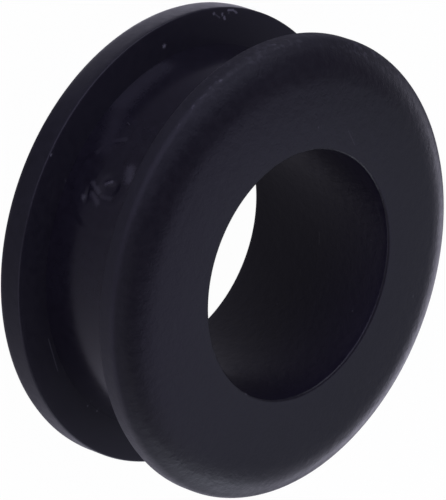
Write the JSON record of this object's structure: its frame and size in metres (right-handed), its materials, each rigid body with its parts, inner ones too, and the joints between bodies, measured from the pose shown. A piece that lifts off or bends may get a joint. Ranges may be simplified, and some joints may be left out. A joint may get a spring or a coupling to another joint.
{
  "type": "shift linkage bushing",
  "caption": "One-piece moulded black bushing: a plain round bore, a thin back flange, a wide groove for a lever's eye and a domed nose flange.",
  "frame": {"origin": "centre of the flat back face, on the bore's axis", "axes": "+Z along the bore's axis, from the back face towards the domed nose; +X towards the gate mark in the groove"},
  "size_m": [0.0222, 0.0222, 0.0088],
  "materials": {
    "bushing": "satin black, moulded, lightly scuffed at the nose's edge"
  },
  "bodies": {
    "root": {"bushing": "bushing"}
  },
  "joints": []
}
